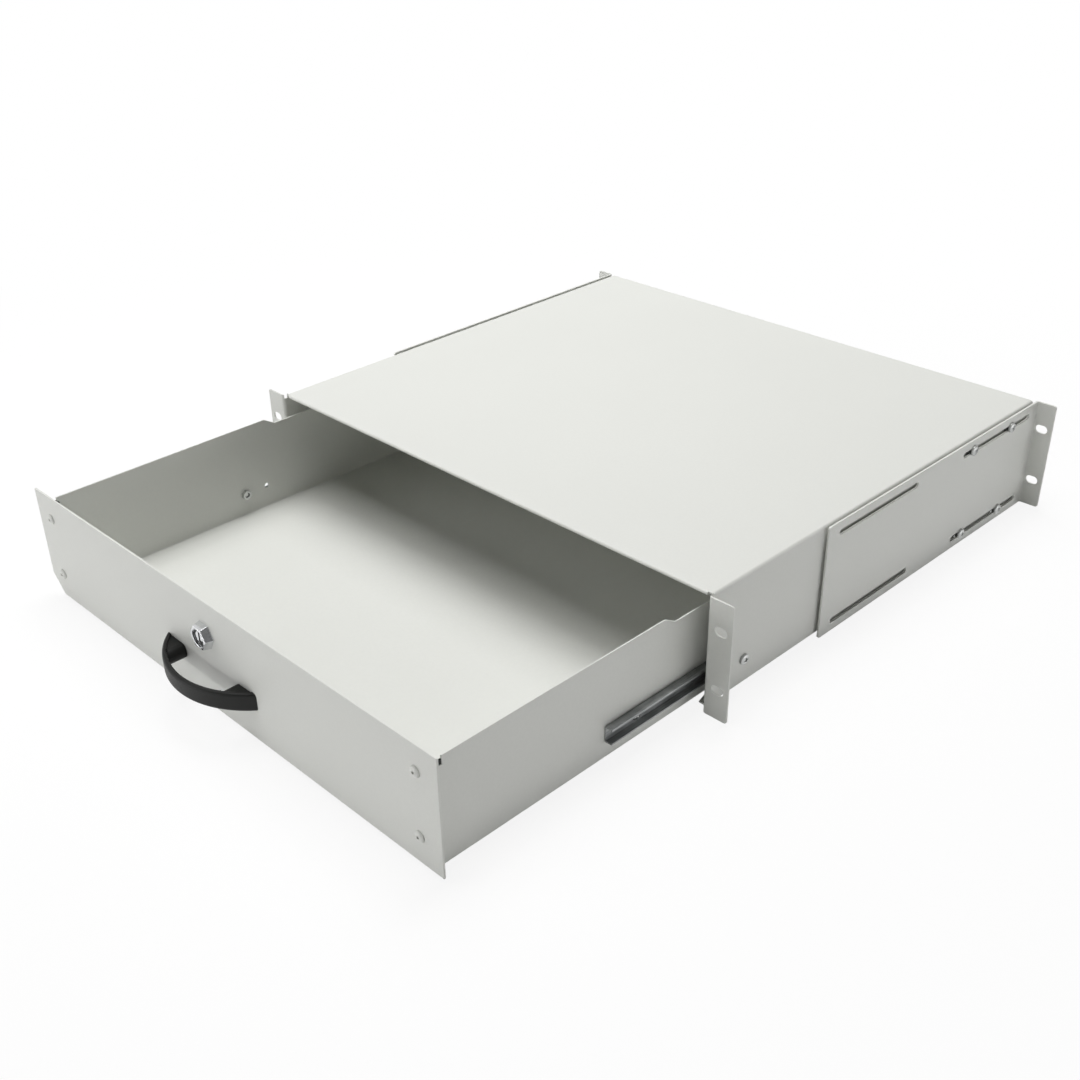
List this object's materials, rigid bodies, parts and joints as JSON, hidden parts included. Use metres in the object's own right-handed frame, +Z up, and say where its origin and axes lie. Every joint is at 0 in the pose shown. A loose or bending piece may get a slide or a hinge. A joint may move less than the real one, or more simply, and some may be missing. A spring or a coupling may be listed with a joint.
{
  "type": "rack keyboard drawer",
  "caption": "Lockable rack drawer for a keyboard, pulled out on ball slides, with bow handle, cam lock and slotted rear brackets, in light grey coated sheet steel.",
  "frame": {"origin": "middle of the front hole pattern, on the rear face of the front rack ears", "axes": "+X to the right seen from the front, +Y from the front of the rack to its rear, +Z up"},
  "size_m": [0.4826, 0.6467, 0.0882],
  "materials": {
    "grey_powder_coat": "fine satin powder coat",
    "zinc_plated_steel": "zinc plated",
    "bright_steel": "bright plated",
    "black_plastic": "satin moulded",
    "chrome": "polished"
  },
  "bodies": {
    "housing": {"housing_shell": "grey_powder_coat", "rear_panel": "grey_powder_coat", "lock_strike": "zinc_plated_steel", "cabinet_rail_left": "zinc_plated_steel", "cabinet_rail_right": "zinc_plated_steel", "cabinet_rail_screws": "bright_steel", "cabinet_rail_rivets": "zinc_plated_steel", "bracket_screws": "bright_steel", "bracket_spacers": "zinc_plated_steel", "bracket_nuts": "zinc_plated_steel"},
    "drawer": {"drawer_tray": "grey_powder_coat", "front_panel": "grey_powder_coat", "panel_rivets": "grey_powder_coat", "handle": "black_plastic", "handle_screws": "bright_steel", "drawer_rail_left": "zinc_plated_steel", "drawer_rail_right": "zinc_plated_steel", "drawer_rail_screws": "bright_steel", "drawer_rail_nuts": "zinc_plated_steel", "lock_barrel": "chrome", "lock_nut": "zinc_plated_steel"},
    "lock": {"lock_plug": "chrome", "lock_cam": "zinc_plated_steel", "cam_screw": "bright_steel"},
    "cage_left": {"ball_cage_left": "zinc_plated_steel", "cage_balls_left": "bright_steel"},
    "cage_right": {"ball_cage_right": "zinc_plated_steel", "cage_balls_right": "bright_steel"},
    "bracket_left": {"rear_bracket_left": "grey_powder_coat"},
    "bracket_right": {"rear_bracket_right": "grey_powder_coat"}
  },
  "joints": [
    {"name": "drawer_slide", "type": "slide", "parent": "housing", "child": "drawer", "axis": [0, -1, 0], "range_m": [-0.2205, 0]},
    {"name": "cage_left_roll", "type": "slide", "parent": "housing", "child": "cage_left", "axis": [0, -1, 0], "range_m": [-0.11025, 0]},
    {"name": "cage_right_roll", "type": "slide", "parent": "housing", "child": "cage_right", "axis": [0, -1, 0], "range_m": [-0.11025, 0]},
    {"name": "lock_turn", "type": "hinge", "parent": "drawer", "child": "lock", "pos_m": [-0.003, -0.2102, 0.01735], "axis": [0, -1, 0], "range_deg": [0, 90]},
    {"name": "bracket_left_adjust", "type": "slide", "parent": "housing", "child": "bracket_left", "axis": [0, 1, 0], "range_m": [-0.0255, 0.0118]},
    {"name": "bracket_right_adjust", "type": "slide", "parent": "housing", "child": "bracket_right", "axis": [0, 1, 0], "range_m": [-0.0255, 0.0118]}
  ],
  "couplings": [
    {"joint": "cage_left_roll", "follows": "drawer_slide", "ratio": 0.5},
    {"joint": "cage_right_roll", "follows": "drawer_slide", "ratio": 0.5}
  ]
}
